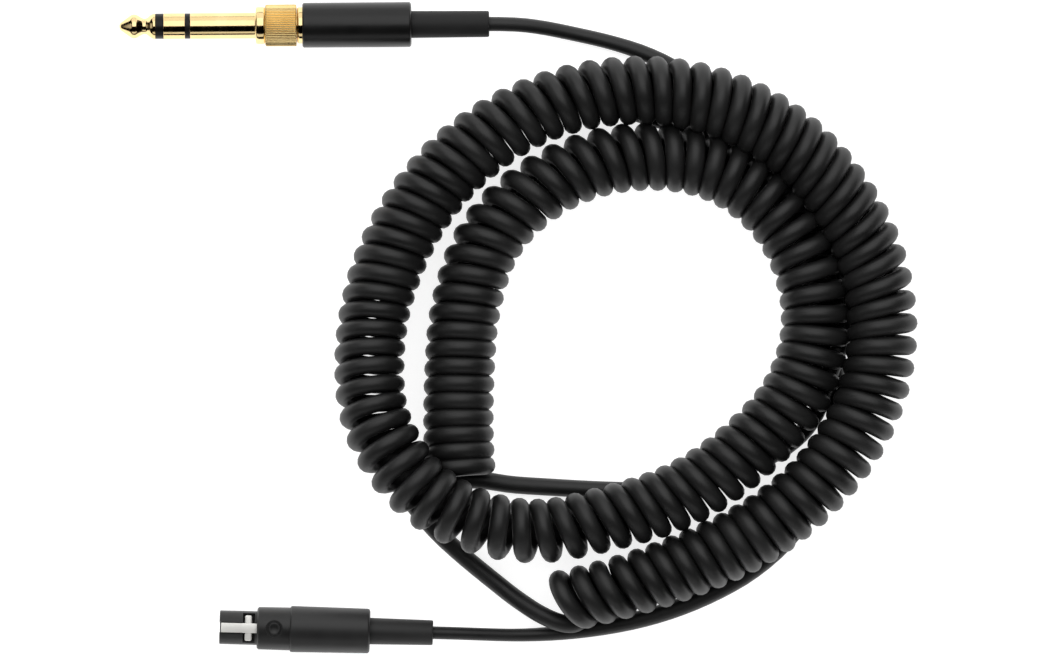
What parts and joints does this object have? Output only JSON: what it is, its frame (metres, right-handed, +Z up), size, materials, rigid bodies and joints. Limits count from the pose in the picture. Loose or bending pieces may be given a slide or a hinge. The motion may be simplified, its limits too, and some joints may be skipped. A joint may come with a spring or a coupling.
{
  "type": "coiled audio cable",
  "caption": "Curly headphone cable lying in two loops, with a gold jack plug and screw-on adapter at one end and a latching mini XLR socket at the other.",
  "frame": {"origin": "on the surface it lies on, under the middle of its bounding box", "axes": "+Z up; +X along the jack from its tip towards its boot; +Y towards the jack's side"},
  "size_m": [0.1948, 0.159, 0.0272],
  "materials": {
    "gold": "polished gold plate, fine straight knurl on the grip",
    "black_insulator": "black moulded plastic",
    "spring_brass": "plain spring metal",
    "black_shell": "satin black",
    "crimp_metal": "plain",
    "core_wire": "thin plastic insulation",
    "black_rubber": "matt black",
    "charcoal_metal": "satin charcoal",
    "latch_steel": "nickel plate",
    "cord_jacket": "satin black soft plastic"
  },
  "bodies": {
    "cable": {"plug_tip": "gold", "plug_tip_insulator": "black_insulator", "plug_ring": "gold", "plug_ring_insulator": "black_insulator", "plug_sleeve": "gold", "plug_base": "gold", "plug_housing": "black_shell", "plug_clamp": "crimp_metal", "plug_conductors": "core_wire", "plug_boot": "black_rubber", "xlr_nose": "charcoal_metal", "xlr_insert": "black_insulator", "xlr_contact_1": "spring_brass", "xlr_contact_2": "spring_brass", "xlr_contact_3": "spring_brass", "xlr_latch_pin": "crimp_metal", "xlr_body": "charcoal_metal", "xlr_backshell": "charcoal_metal", "xlr_clamp": "crimp_metal", "xlr_conductors": "core_wire", "xlr_boot": "black_rubber", "jack_lead": "cord_jacket", "coil_first_loop": "cord_jacket", "coil_second_loop": "cord_jacket", "xlr_lead": "cord_jacket"},
    "adapter_core": {"adapter_socket_liner": "black_insulator"},
    "adapter_shell": {"adapter_tip": "gold", "adapter_tip_insulator": "black_insulator", "adapter_ring": "gold", "adapter_ring_insulator": "black_insulator", "adapter_sleeve": "gold", "adapter_grip": "gold", "adapter_tip_contact": "spring_brass", "adapter_ring_contact": "spring_brass", "adapter_sleeve_contact": "spring_brass"},
    "release_button": {"xlr_button": "charcoal_metal"},
    "latch": {"xlr_latch": "latch_steel"}
  },
  "joints": [
    {"name": "adapter_slide", "type": "slide", "parent": "cable", "child": "adapter_core", "axis": [-1, -0.007, 0], "range_m": [0, 0.003]},
    {"name": "adapter_turn", "type": "hinge", "parent": "adapter_core", "child": "adapter_shell", "pos_m": [-0.0584, 0.07367, 0.0055], "axis": [-1, -0.007, 0], "range_deg": [0, 1080]},
    {"name": "button_press", "type": "slide", "parent": "cable", "child": "release_button", "axis": [0, 0, -1], "range_m": [0, 0.0005], "stiffness_N_per_m": 400, "springref_m": -0.0005},
    {"name": "latch_pivot", "type": "hinge", "parent": "cable", "child": "latch", "pos_m": [-0.04891, -0.07383, 0.00865], "axis": [-0.0262, -0.9997, 0], "range_deg": [0, 2.9]}
  ],
  "couplings": [
    {"joint": "adapter_slide", "follows": "adapter_turn", "m_per_rad": 0.00015915},
    {"joint": "latch_pivot", "follows": "button_press", "rad_per_m": 101}
  ]
}
